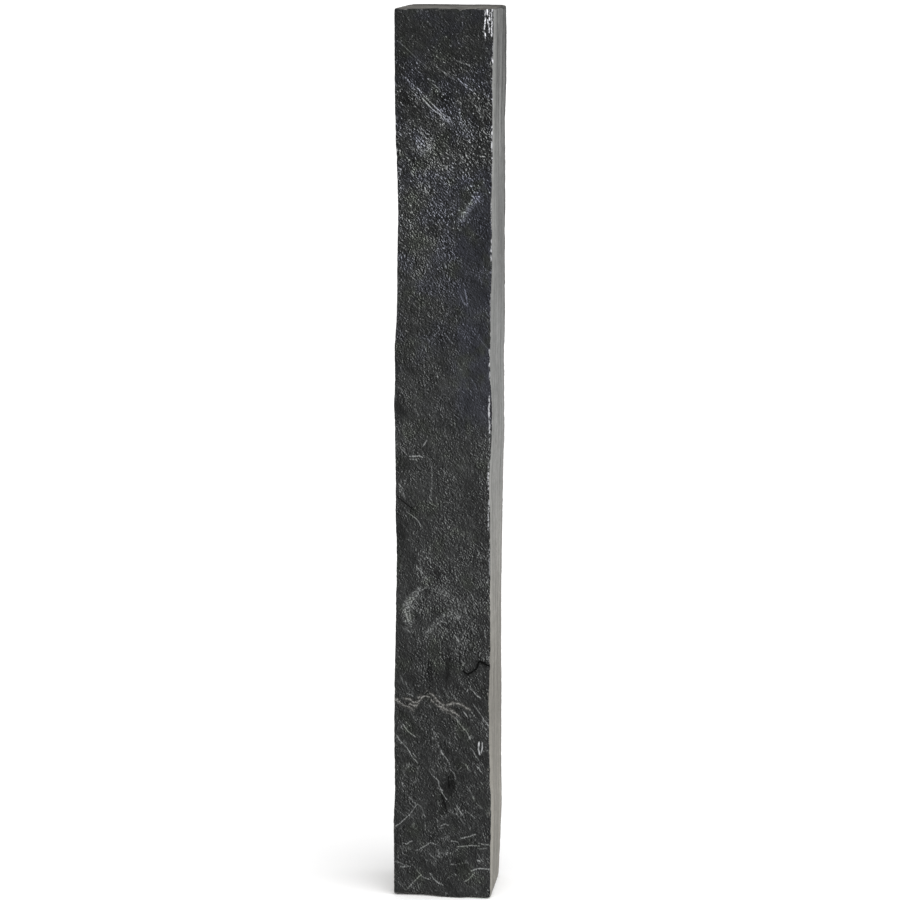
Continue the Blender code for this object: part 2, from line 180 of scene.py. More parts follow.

# Marks of the front as points (across, height), nearly all of them upwards or to the right.
# The number before a mark is its stops of light, or its strength. In FRONT_LINES the light
# marks are partly pale broken edges of beds and partly painted highlights, the dark ones
# painted shade in cuts and at ledges; WHITE_GLINTS are painted highlights.
CRACK = [
    (1.0, [(0.0236, 0.2626), (0.0281, 0.2588), (0.0327, 0.2613), (0.0388, 0.2664)]),
    (1.0, [(0.0383, 0.2655), (0.0396, 0.27), (0.0413, 0.2748)]),
    (1.0, [(0.0404, 0.2744), (0.0463, 0.2721), (0.056, 0.267)]),
]
FRONT_LINES = [
    (2.5, [(0.0043, 0.8818), (-0.0057, 0.891), (-0.0157, 0.9001), (-0.0223, 0.9072), (-0.0279, 0.9142)]),
    (2.5, [(-0.0234, 0.9033), (-0.0168, 0.8968), (-0.0101, 0.8898), (-0.0012, 0.8839), (0.0088, 0.8764)]),
    (1.6, [(0.0121, 0.871), (0.0077, 0.8819)]), (0.8, [(-0.0156, 0.9241), (-0.0023, 0.9145)]),
    (0.8, [(0.011, 0.9277), (0.0331, 0.9105)]), (0.7, [(-0.0422, 0.9533), (-0.0245, 0.9382)]),
    (0.8, [(0.0221, 0.906), (0.0376, 0.8932)]), (0.7, [(0.0143, 0.9016), (0.0287, 0.8887)]),
    (1.5, [(-0.05, 0.9641), (-0.04, 0.9565), (-0.0278, 0.9447)]),
    (1.5, [(-0.0278, 0.9447), (-0.019, 0.9372), (-0.0123, 0.9329)]),
    (1.5, [(-0.009, 0.9384), (0.0043, 0.9287), (0.0143, 0.9212)]),
    (1.8, [(0.0165, 0.943), (0.0231, 0.9403), (0.0309, 0.9377)]),
    (1.6, [(0.0287, 0.9105), (0.0176, 0.9234)]),
    (1.4, [(-0.0467, 0.9292), (-0.0312, 0.9163), (-0.0245, 0.9099)]),
    (1.6, [(-0.0023, 0.8817), (0.0077, 0.8753)]), (2.0, [(-0.018, 0.7981), (-0.0202, 0.8058)]),
    (1.5, [(0.0121, 0.6313), (0.0043, 0.6411)]),
    (1.3, [(0.0278, 0.6728), (0.0267, 0.6817), (0.0244, 0.6928)]),
    (1.3, [(0.0255, 0.675), (0.0211, 0.6816), (0.0199, 0.6871)]),
    (1.0, [(0.0513, 0.6266), (0.0401, 0.6397), (0.0267, 0.6528)]),
    (1.0, [(0.0402, 0.5794), (0.0312, 0.5949)]),
    (1.2, [(-0.0159, 0.6317), (-0.0092, 0.6408), (-0.0025, 0.6477)]),
    (1.6, [(-0.0047, 0.5939), (-0.007, 0.6006)]), (1.8, [(-0.0217, 0.517), (-0.0172, 0.5239)]),
    (2.2, [(-0.037, 0.5053), (-0.0251, 0.5062), (-0.0206, 0.5046)]),
    (1.5, [(-0.0376, 0.5023), (-0.0274, 0.5022)]), (1.2, [(-0.0489, 0.5162), (-0.0387, 0.5064)]),
    (0.9, [(-0.0139, 0.4561), (-0.012, 0.4698), (-0.0111, 0.4857), (-0.0138, 0.5014)]),
    (1.4, [(-0.0422, 0.4575), (-0.049, 0.4743)]),
    (2.2, [(-0.0241, 0.424), (-0.0275, 0.4319), (-0.0343, 0.4373), (-0.0411, 0.4417)]),
    (-2.2, [(-0.0513, 0.4595), (-0.0434, 0.453), (-0.032, 0.4442)]),
    (2.2, [(-0.0299, 0.3805), (-0.0219, 0.3728)]), (1.5, [(-0.0162, 0.365), (-0.0196, 0.3694)]),
    (2.4, [(0.019, 0.2964), (0.0133, 0.3042)]), (1.5, [(0.0167, 0.2882), (0.0224, 0.2839)]),
    (1.5, [(-0.0026, 0.3185), (0.0053, 0.3165)]), (1.3, [(0.0497, 0.2964), (0.0474, 0.3101)]),
    (1.2, [(-0.0438, 0.2444), (-0.0484, 0.2557)]),
    (1.3, [(-0.0392, 0.2388), (-0.0404, 0.2433), (-0.0427, 0.249)]),
    (1.8, [(-0.041, 0.2346), (-0.0375, 0.2336), (-0.0335, 0.2315)]),
    (1.6, [(0.019, 0.2255), (0.0145, 0.23), (0.011, 0.2344), (0.0065, 0.2395)]),
    (1.5, [(0.0025, 0.2237), (-0.0015, 0.2287), (-0.0049, 0.2332)]),
    (1.1, [(0.0065, 0.2302), (0.0031, 0.237), (-0.0004, 0.2426)]),
    (1.6, [(0.051, 0.1962), (0.0441, 0.2029), (0.0384, 0.2084), (0.0316, 0.2174)]),
    (1.5, [(0.0527, 0.1998), (0.0453, 0.2099), (0.0395, 0.2189), (0.035, 0.2256)]),
    (2.4, [(0.0219, 0.217), (0.0253, 0.2142), (0.0287, 0.2109)]),
    (1.7, [(0.0344, 0.2071), (0.0304, 0.2133)]),
    (2.0, [(0.0276, 0.2392), (0.029, 0.2421), (0.0304, 0.2439)]),
    (2.0, [(0.0304, 0.2439), (0.0338, 0.2417), (0.0384, 0.2361), (0.0441, 0.2318)]),
    (2.0, [(0.0322, 0.185), (0.0282, 0.193), (0.0225, 0.1985), (0.0179, 0.2041), (0.0145, 0.2103)]),
    (1.8, [(-0.0279, 0.1545), (-0.0337, 0.1601), (-0.0382, 0.1692), (-0.0428, 0.1748),
           (-0.0486, 0.1804), (-0.0531, 0.1872)]),
    (1.8, [(-0.0451, 0.1991), (-0.0393, 0.1912), (-0.0348, 0.188), (-0.0302, 0.1847)]),
    (1.4, [(-0.0302, 0.1882), (-0.0244, 0.1843)]),
    (2.0, [(0.0088, 0.1538), (0.0053, 0.1607), (0.0007, 0.1663), (-0.0033, 0.1742), (-0.0061, 0.1799)]),
    (2.3, [(0.0151, 0.1378), (0.0133, 0.1447), (0.0076, 0.1503)]),
    (1.4, [(0.0088, 0.1422), (0.0019, 0.1512)]),
    (2.0, [(-0.0004, 0.1237), (-0.0039, 0.1288), (-0.005, 0.1358), (-0.0084, 0.1385)]),
    (1.6, [(0.0419, 0.1611), (0.0385, 0.1656), (0.035, 0.1724), (0.0316, 0.1757)]),
    (1.8, [(0.0448, 0.1473), (0.0408, 0.1529), (0.0351, 0.1596)]),
    (1.5, [(-0.0296, 0.1603), (-0.0337, 0.1665)]),
    (1.4, [(-0.0073, 0.1368), (-0.0107, 0.1402), (-0.0165, 0.1481)]),
    (1.1, [(0.0316, 0.1455), (0.0271, 0.1558), (0.0202, 0.159)]),
    (1.3, [(0.0179, 0.149), (0.0219, 0.1521)]),
    (2.2, [(0.0053, 0.1129), (0.0007, 0.1197), (-0.0027, 0.1254)]),
    (1.3, [(-0.0027, 0.102), (-0.005, 0.1066), (-0.0062, 0.1112)]),
    (2.0, [(0.0248, 0.0951), (0.0202, 0.1019), (0.0156, 0.1087)]),
    (1.5, [(0.026, 0.0858), (0.0214, 0.0915), (0.0156, 0.0982)]),
    (1.3, [(0.0248, 0.1033), (0.0317, 0.099), (0.0374, 0.0946)]),
    (1.0, [(0.0374, 0.1132), (0.0317, 0.1246), (0.0282, 0.1303)]),
    (1.9, [(-0.0563, 0.079), (-0.0488, 0.0835), (-0.043, 0.0896), (-0.0372, 0.0946)]),
    (1.3, [(-0.0372, 0.0946), (-0.0326, 0.1018), (-0.0292, 0.1066)]),
    (1.2, [(-0.0493, 0.0975), (-0.043, 0.092)]),
    (1.0, [(-0.0194, 0.0778), (-0.02, 0.0837), (-0.0211, 0.0942), (-0.0234, 0.1022), (-0.028, 0.1067)]),
    (0.9, [(-0.0452, 0.1211), (-0.0372, 0.1133), (-0.0303, 0.1066)]),
    (1.7, [(-0.0027, 0.0827), (0.003, 0.0848), (0.007, 0.0838)]),
    (1.2, [(-0.005, 0.0791), (0.0019, 0.0806)]),
    (2.0, [(0.0088, 0.0651), (0.0145, 0.0654), (0.018, 0.0644)]),
    (1.9, [(0.0191, 0.0686), (0.0248, 0.0706), (0.0306, 0.072), (0.0352, 0.0746), (0.0386, 0.0759)]),
    (1.8, [(0.0157, 0.059), (0.0225, 0.0599), (0.0294, 0.0614), (0.0386, 0.0619), (0.0432, 0.0621)]),
    (1.5, [(0.0409, 0.0655), (0.0478, 0.0641), (0.0535, 0.0638)]),
    (1.2, [(0.0398, 0.059), (0.0455, 0.0587), (0.0512, 0.0602)]),
    (1.8, [(-0.0465, 0.0613), (-0.0408, 0.0598), (-0.0373, 0.0629), (-0.0338, 0.0637)]),
    (1.8, [(-0.0258, 0.0553), (-0.02, 0.0585), (-0.0142, 0.0629), (-0.0096, 0.0613), (-0.0068, 0.0603)]),
    (1.4, [(-0.0315, 0.0526), (-0.0258, 0.0541)]),
    (1.5, [(-0.0166, 0.0516), (-0.0131, 0.0477), (-0.0097, 0.0455)]),
    (1.3, [(0.0053, 0.0521), (0.0099, 0.0511), (0.0122, 0.0477)]),
    (1.3, [(0.0134, 0.0531), (0.0168, 0.0562), (0.0191, 0.0574)]),
    (2.2, [(0.0392, 0.0449), (0.0432, 0.044)]),
    (2.1, [(0.0329, 0.0323), (0.0375, 0.0343), (0.0421, 0.0357), (0.0478, 0.0354), (0.0536, 0.0351)]),
    (1.6, [(0.0249, 0.0196), (0.0295, 0.0216), (0.0329, 0.0253), (0.0375, 0.0308)]),
    (1.3, [(-0.0547, 0.0392), (-0.0501, 0.0382), (-0.0466, 0.0366)]),
    (1.5, [(-0.0489, 0.033), (-0.0431, 0.0333), (-0.0362, 0.0342)]),
    (1.7, [(-0.0333, 0.0349), (-0.0293, 0.0292), (-0.0247, 0.0242), (-0.0201, 0.0209), (-0.0143, 0.0194)]),
    (2.2, [(-0.0154, 0.027), (-0.0126, 0.0254), (-0.0108, 0.0219), (-0.0074, 0.0186),
           (-0.0028, 0.0159), (0.0018, 0.0143)]),
    (1.7, [(-0.0391, 0.0087), (-0.0351, 0.0136), (-0.0316, 0.0173), (-0.0247, 0.0248)]),
    (1.0, [(-0.0547, 0.0174), (-0.0478, 0.0118), (-0.0432, 0.0073), (-0.0397, 0.0063)]),
    (1.2, [(-0.0108, 0.0043), (-0.0155, 0.0111)]), (1.2, [(0.0134, 0.0278), (0.018, 0.0263)]),
    (1.3, [(0.0042, 0.0203), (0.0059, 0.0228), (0.0099, 0.0247)]),
    (1.7, [(0.0088, 0.0388), (0.0134, 0.0384)]),
    (-2.2, [(0.0042, 0.1), (0.0007, 0.1127), (-0.0016, 0.1196)]),
    (-1.6, [(0.0076, 0.127), (0.0065, 0.1409)]),
    (2.5, [(0.043, 0.1678), (0.0412, 0.1742), (0.0419, 0.1834)]),
    (2.2, [(0.0446, 0.1701), (0.046, 0.1765), (0.0455, 0.1823)]),
    (-1.8, [(0.02, 0.27), (0.0236, 0.264)]), (2.2, [(-0.0281, 0.3937), (-0.0253, 0.3921)]),
    (2.4, [(-0.0185, 0.3917), (-0.0156, 0.3901)]), (1.8, [(-0.0224, 0.3984), (-0.0202, 0.3962)]),
]
VEIN_STRANDS = [
    (0.5, [(-0.0129, 0.2317), (-0.0049, 0.2257), (0.0042, 0.2203), (0.0122, 0.2166), (0.0202, 0.21)]),
    (0.4, [(-0.0072, 0.2233), (0.0008, 0.2167), (0.0088, 0.2124), (0.0156, 0.2075)]),
    (1.0, [(-0.045, 0.2287), (-0.0404, 0.2283), (-0.0358, 0.2273), (-0.0324, 0.2257), (-0.0295, 0.2253),
           (-0.0255, 0.2278), (-0.0221, 0.2325), (-0.0187, 0.2338), (-0.0141, 0.2311), (-0.0095, 0.2261),
           (-0.0049, 0.2228), (0.0008, 0.2202), (0.0053, 0.2175), (0.0099, 0.2159), (0.0145, 0.2144),
           (0.019, 0.2117)]),
    (1.0, [(-0.0576, 0.2283), (-0.0547, 0.2277), (-0.0507, 0.2261), (-0.0473, 0.2234), (-0.0439, 0.2206),
           (-0.0399, 0.2208), (-0.0364, 0.2233), (-0.0324, 0.2211), (-0.029, 0.2218), (-0.0261, 0.2248)]),
    (1.0, [(-0.0393, 0.2202), (-0.0353, 0.2181), (-0.0324, 0.2159)]),
    (1.0, [(-0.029, 0.2305), (-0.0244, 0.2318), (-0.0204, 0.2337), (-0.0181, 0.2385)]),
    (1.0, [(-0.0152, 0.2351), (-0.0107, 0.233), (-0.0067, 0.2285), (-0.0027, 0.2246), (0.0019, 0.2219)]),
    (1.0, [(0.0042, 0.2226), (0.0088, 0.224), (0.0139, 0.2253), (0.019, 0.2244), (0.0225, 0.2234),
           (0.027, 0.2207), (0.0316, 0.2185)]),
]
SOFT_BANDS = [
    (0.8, [(-0.0095, 0.3572), (0.0155, 0.3424), (0.0268, 0.3332)]),
    (1.6, [(0.0196, 0.7668), (0.03, 0.783), (0.0398, 0.7965)]),
    (1.9, [(-0.0404, 0.317), (-0.0412, 0.3274), (-0.039, 0.3401), (-0.0299, 0.3508), (-0.0208, 0.358)]),
    (1.1, [(-0.035, 0.304), (-0.0378, 0.3103), (-0.04, 0.319)]),
    (0.9, [(-0.0345, 0.313), (-0.0368, 0.327), (-0.034, 0.3385), (-0.025, 0.348)]),
    (1.4, [(-0.02, 0.302), (-0.011, 0.312), (-0.0015, 0.3231), (0.0105, 0.329), (0.02, 0.323)]),
    (0.7, [(-0.045, 0.125), (-0.046, 0.136), (-0.045, 0.145), (-0.041, 0.154)]),
]
WHITE_GLINTS = [
    (1.0, [(0.0476, 0.9671), (0.0465, 0.9779), (0.0471, 0.9888), (0.0468, 0.9974)]),
    (1.0, [(0.0501, 0.9823), (0.049, 0.9996)]), (1.0, [(0.0514, 0.9737), (0.0521, 0.9996)]),
    (0.8, [(0.0542, 0.9694), (0.0545, 0.9996)]), (1.0, [(0.0571, 0.9672), (0.0568, 0.9996)]),
    (0.7, [(0.0561, 0.9477), (0.0564, 0.965)]), (1.0, [(0.0558, 0.9401), (0.0551, 0.9455)]),
    (0.7, [(0.0558, 0.9064), (0.0558, 0.926)]), (0.6, [(0.0558, 0.889), (0.0554, 0.9043)]),
    (0.8, [(0.0549, 0.8432), (0.055, 0.8727)]), (0.7, [(0.0555, 0.8191), (0.0551, 0.8388)]),
    (0.9, [(0.0558, 0.7993), (0.0558, 0.8092)]), (0.6, [(0.055, 0.7597), (0.0545, 0.7883)]),
    (0.5, [(0.054, 0.7244), (0.0542, 0.7487)]), (0.2, [(0.0531, 0.6579), (0.0536, 0.6823)]),
    (0.5, [(0.0518, 0.6055), (0.0528, 0.6155), (0.0522, 0.6267)]),
    (0.3, [(0.053, 0.5921), (0.0527, 0.6021)]),
    (0.5, [(0.0525, 0.5248), (0.0528, 0.5439), (0.0517, 0.5596), (0.0526, 0.5753)]),
    (0.5, [(0.052, 0.4695), (0.0512, 0.4853), (0.052, 0.5056)]),
    (0.4, [(0.0526, 0.4243), (0.0516, 0.4401), (0.0523, 0.4582)]),
    (0.2, [(0.0532, 0.3731), (0.0529, 0.4038)]),
    (0.45, [(0.043, 0.1678), (0.0412, 0.1742), (0.0419, 0.1834)]),
    (0.35, [(0.0446, 0.1701), (0.046, 0.1765), (0.0455, 0.1823)]),
]

# Lighter and darker patches of the front: (across, height, half width, half height, stops of light)
PATCHES = [
    (-0.026, 0.918, 0.011, 0.01, -0.7),
    (0.043, 0.86, 0.013, 0.06, -0.5), (0.043, 0.75, 0.013, 0.03, -0.4),
    (-0.007, 0.372, 0.011, 0.008, -0.9), (-0.042, 0.498, 0.011, 0.011, -0.5),
    (-0.0194, 0.85, 0.013, 0.016, 1.7), (0.0, 0.871, 0.006, 0.01, 1.0),
    (0.005, 0.83, 0.022, 0.026, 0.5), (0.0074, 0.822, 0.012, 0.011, 0.8),
    (0.014, 0.789, 0.007, 0.007, 0.6), (-0.03, 0.79, 0.022, 0.035, 0.5),
    (-0.02, 0.72, 0.03, 0.05, 0.4), (-0.04, 0.903, 0.012, 0.012, -0.9),
    (-0.03, 0.834, 0.01, 0.008, -0.6), (0.008, 0.864, 0.011, 0.008, -0.6),
    (0.024, 0.296, 0.007, 0.011, 0.8), (-0.023, 0.385, 0.008, 0.01, 0.6),
    (0.004, 0.9025, 0.009, 0.01, -1.1), (0.0085, 0.131, 0.0085, 0.0185, -1.0),
    (-0.015, 0.262, 0.0045, 0.02, -1.2), (0.006, 0.264, 0.0045, 0.02, -1.3),
    (-0.05, 0.415, 0.012, 0.028, -0.8), (0.0, 0.105, 0.005, 0.015, -0.9),
    (-0.046, 0.56, 0.008, 0.018, -0.7), (-0.008, 0.325, 0.008, 0.011, -0.7),
    (-0.01, 0.07, 0.007, 0.014, -0.6), (-0.045, 0.94, 0.012, 0.03, -0.4),
]

# How light the top is from front to back
TOP_LIGHT = [
    (-0.054, 0.95), (-0.04, 1.16), (-0.02, 1.3), (0.005, 0.98),
    (0.028, 0.62), (0.04, 0.8), (0.054, 1.35),
]

# How far the foot's front edge stands off the floor: (across, rise)
FOOT_RISE = [
    (-0.058, 0.001), (-0.0512, 0.0016), (-0.042, 0.0022), (-0.0328, 0.0027),
    (-0.0235, 0.0034), (-0.0143, 0.0022), (-0.0051, 0.0005), (0.0042, 0.0005),
    (0.0134, 0.0), (0.0226, 0.0009), (0.0318, 0.0023), (0.0411, 0.0024),
    (0.058, 0.0018),
]

# Strength of the pale threads and strokes, and of the whole texture: (height, share)
THREADS = [
    (0.0, 0.48), (0.25, 0.52), (0.3, 0.36), (0.55, 0.38), (0.62, 0.28), (0.76, 0.28),
    (0.84, 0.85), (0.88, 1.15), (0.93, 0.9), (0.97, 0.25), (1.0, 0.2),
]
GLINTS = [
    (0.0, 0.48), (0.2, 0.56), (0.3, 0.84), (0.37, 0.84), (0.45, 0.64), (0.6, 0.66),
    (0.68, 0.86), (0.76, 1.06), (0.86, 1.14), (0.92, 0.84), (0.96, 0.56), (1.0, 0.44),
]

# Stops that the riven faces are lifted by, and the sides' brightness: (height, light)
LIFT = [
    (0.0, 0.32), (0.04, 0.14), (0.1, 0.04), (0.25, -0.04), (0.33, 0.36), (0.46, 0.34),
    (0.62, 0.22), (0.72, 0.04), (0.8, -0.08), (0.92, -0.3), (1.0, -0.28),
]
SIDE_LIGHT = [
    (0.0, 0.222), (0.11, 0.226), (0.21, 0.192), (0.33, 0.246), (0.46, 0.214),
    (0.53, 0.218), (0.63, 0.19), (0.72, 0.166), (0.85, 0.196), (1.0, 0.16),
]


class StoneSettings(bpy.types.PropertyGroup):
    """Sizes of the stone's surface."""

    cell: FloatProperty(
        name="Cell", description="Fineness that the relief is shaped at",
        default=0.0013, min=0.001, max=0.01, unit="LENGTH")
    triangles: IntProperty(
        name="Triangles", description="Triangles left in the finished post",
        default=190000, min=10000, max=199000)
    softening: IntProperty(
        name="Softening", description="Passes that soften the solid's facets",
        default=4, min=0, max=40)
    grain_depth: FloatProperty(
        name="Grain depth", description="Height of the grain on the riven faces",
        default=0.00055, unit="LENGTH")
    bed_step: FloatProperty(
        name="Bed step", description="Step from one bed to the next on the riven faces",
        default=0.00045, unit="LENGTH")
    rib_rise: FloatProperty(
        name="Rib rise", description="Height of the bed lines on the sides",
        default=0.00022, unit="LENGTH")
    chip_depth: FloatProperty(
        name="Chip depth", description="Deepest chip along an arris",
        default=0.0042, unit="LENGTH")
    notch_depth: FloatProperty(
        name="Notch depth", description="Deepest small notch along an arris",
        default=0.0022, unit="LENGTH")
    top_rough: FloatProperty(
        name="Top roughness", description="Unevenness of the cut top",
        default=0.0006, unit="LENGTH")


class FinishSettings(bpy.types.PropertyGroup):
    """Colours of the slate."""

    slate: FloatVectorProperty(
        name="Riven", description="Plain slate of the riven faces",
        default=(0.0272, 0.0280, 0.0278), size=3, subtype="COLOR")
    blue: FloatVectorProperty(
        name="Riven, blue", description="Bluish patches",
        default=(0.0265, 0.0278, 0.0345), size=3, subtype="COLOR")
    olive: FloatVectorProperty(
        name="Riven, olive", description="Faint olive patches",
        default=(0.0262, 0.0285, 0.0245), size=3, subtype="COLOR")
    vein: FloatVectorProperty(
        name="Vein", description="Pale vein across the front",
        default=(0.310, 0.304, 0.290), size=3, subtype="COLOR")
    haze: FloatVectorProperty(
        name="Vein, haze", description="Paler stone beside the vein",
        default=(0.068, 0.066, 0.062), size=3, subtype="COLOR")
    # Painted highlight colour, for the white glints painted along the right arris
    glint: FloatVectorProperty(
        name="Glint", description="White glints where the right arris is broken",
        default=(0.95, 0.96, 1.0), size=3, subtype="COLOR")
    cut: FloatVectorProperty(
        name="Cut side", description="Tint of the sides that cut across the beds",
        default=(0.985, 0.995, 0.975), size=3, subtype="COLOR")
    warm: FloatVectorProperty(
        name="Cut side, low", description="Warmer tint of the sides low down",
        default=(1.0, 0.96, 0.87), size=3, subtype="COLOR")
    end: FloatVectorProperty(
        name="Cut end", description="Top and base",
        default=(0.094, 0.090, 0.083), size=3, subtype="COLOR")


class StageSettings(bpy.types.PropertyGroup):
    """Camera, lamp and floor."""

    distance: FloatProperty(
        name="Distance", description="From the camera to what it aims at",
        default=4.0, unit="LENGTH")
    azimuth: FloatProperty(
        name="Azimuth", description="Turn of the camera to the right of the front",
        default=math.radians(9.67), subtype="ANGLE")
    elevation: FloatProperty(
        name="Elevation", description="Slope of the view down to the post",
        default=math.radians(9.71), subtype="ANGLE")
    lens: FloatProperty(
        name="Lens", description="Focal length in millimetres", default=142.65)
    aim: FloatProperty(
        name="Aim", description="Height that the camera aims at",
        default=0.5050, unit="LENGTH")
    floor: FloatVectorProperty(
        name="Floor", description="Colour of the floor",
        default=(0.97, 0.97, 0.97), size=3, subtype="COLOR")
    sky: FloatProperty(
        name="Sky", description="Brightness of the light from all round", default=0.66)
    lamp: FloatProperty(
        name="Lamp", description="Strength of the soft light from the upper right", default=2.2)
    lamp_spread: FloatProperty(
        name="Lamp spread", description="How wide the soft light is",
        default=math.radians(70), subtype="ANGLE")


class Value:
    """A number that varies over the stone. Python's operators on it add Math nodes."""

    def __init__(self, board, socket):
        self.board = board
        self.socket = socket

    def __add__(self, other):
        return self.board.maths("ADD", self, other)

    __radd__ = __add__

    def __sub__(self, other):
        return self.board.maths("SUBTRACT", self, other)

    def __rsub__(self, other):
        return self.board.maths("SUBTRACT", other, self)

    def __mul__(self, other):
        return self.board.maths("MULTIPLY", self, other)

    __rmul__ = __mul__

    def __truediv__(self, other):
        return self.board.maths("DIVIDE", self, other)

    def __abs__(self):
        return self.board.maths("ABSOLUTE", self)

    def also(self, name):
        """Another output of the node that this value comes from."""
        return Value(self.board, self.socket.node.outputs[name])


class Board:
    """A node tree that a relief or a finish is laid out on."""

    def __init__(self, tree):
        self.tree = tree
        tree.nodes.clear()

    def node(self, kind, settings=None, inputs=None, output=0):
        """Add one node: its settings first, then the values or links of its sockets."""
        node = self.tree.nodes.new(kind)
        for name, value in (settings or {}).items():
            if name == "points":
                draw_line(node, value)
            else:
                setattr(node, name, value)
        for name, value in (inputs or {}).items():
            if isinstance(value, Value):
                self.tree.links.new(value.socket, node.inputs[name])
            else:
                node.inputs[name].default_value = value
        return None if output is None else Value(self, node.outputs[output])

    def maths(self, operation, *values):
        """One Math node on numbers or values."""
        return self.node("ShaderNodeMath", {"operation": operation}, dict(enumerate(values)))

    def vector(self, x, y, z):
        """A vector of three numbers or values."""
        return self.node("ShaderNodeCombineXYZ", None, {"X": x, "Y": y, "Z": z})

    def parts(self, vector):
        """The three values of a vector."""
        return [
            self.node("ShaderNodeSeparateXYZ", None, {"Vector": vector}, part) for part in "XYZ"]

    def eased(self, value, low, high):
        """Ease from 0 to 1 as the value goes from low to high."""
        return self.node(
            "ShaderNodeMapRange", {"interpolation_type": "SMOOTHSTEP"},
            {"Value": value, "From Min": low, "From Max": high}, "Result")

    def largest(self, values):
        """The largest of several values, each compared as soon as it is laid out."""
        most = None
        for value in values:
            most = value if most is None else self.maths("MAXIMUM", most, value)
        return most

    def total(self, values):
        """The sum of several values, each added as soon as it is laid out."""
        whole = None
        for value in values:
            whole = value if whole is None else whole + value
        return whole

    def line(self, place, points):
        """A drawn line's value at this place."""
        start, end = points[0][0], points[-1][0]
        low = min(value for _, value in points)
        span = max(value for _, value in points) - low
        drawn = [((at - start) / (end - start), (value - low) / span) for at, value in points]
        share = (place - start) / (end - start)
        return self.node("ShaderNodeFloatCurve", {"points": drawn}, {"Value": share}) * span + low

    def noise(self, vector, detail=2.0, roughness=0.5):
        """Soft noise from 0 to 1 whose lumps are about one unit of the vector wide."""
        return self.node(
            "ShaderNodeTexNoise", {"noise_dimensions": "3D"},
            {"Vector": vector, "Scale": 1.0, "Detail": detail, "Roughness": roughness})

    def mixed(self, share, first, second):
        """Blend of two colours."""
        return self.node("ShaderNodeMix", {"data_type": "RGBA"}, {0: share, 6: first, 7: second}, 2)

    def lit(self, colour, light):
        """A colour made lighter or darker."""
        return self.node(
            "ShaderNodeVectorMath", {"operation": "SCALE"}, {"Vector": colour, "Scale": light})


def draw_line(node, points):
    """Put the points of a drawn line on a Float Curve node, straight between them."""
    curve = node.mapping.curves[0]
    while len(curve.points) < len(points):
        curve.points.new(0.5, 0.5)
    for point, place in zip(curve.points, points):
        point.location = place
        point.handle_type = "VECTOR"
    node.mapping.update()


def opaque(colour):
    """A colour setting as four numbers."""
    return (colour[0], colour[1], colour[2], 1.0)


def climbs(points):
    """Whether a mark climbs more than it crosses."""
    return abs(points[-1][1] - points[0][1]) > abs(points[-1][0] - points[0][0])


def lanes(marks):
    """Share marks out among lanes, those that climb and those that cross apart, so that
    the marks of one lane follow one another."""
    shared = {True: [], False: []}
    paths = [
        (climbs(points), [(z, x) for x, z in points] if climbs(points) else points, stops)
        for stops, points in marks]
    for climbing, path, stops in sorted(paths, key=lambda each: each[1][0][0]):
        for lane in shared[climbing]:
            after = path[0][0] > lane[-1][1][-1][0] + LANE_GAP
            if after and path[-1][0] < lane[0][1][0][0] + LANE_SPAN:
                lane.append((stops, path))
                break
        else:
            shared[climbing].append([(stops, path)])
    return [(climbing, lane) for climbing in shared for lane in shared[climbing]]


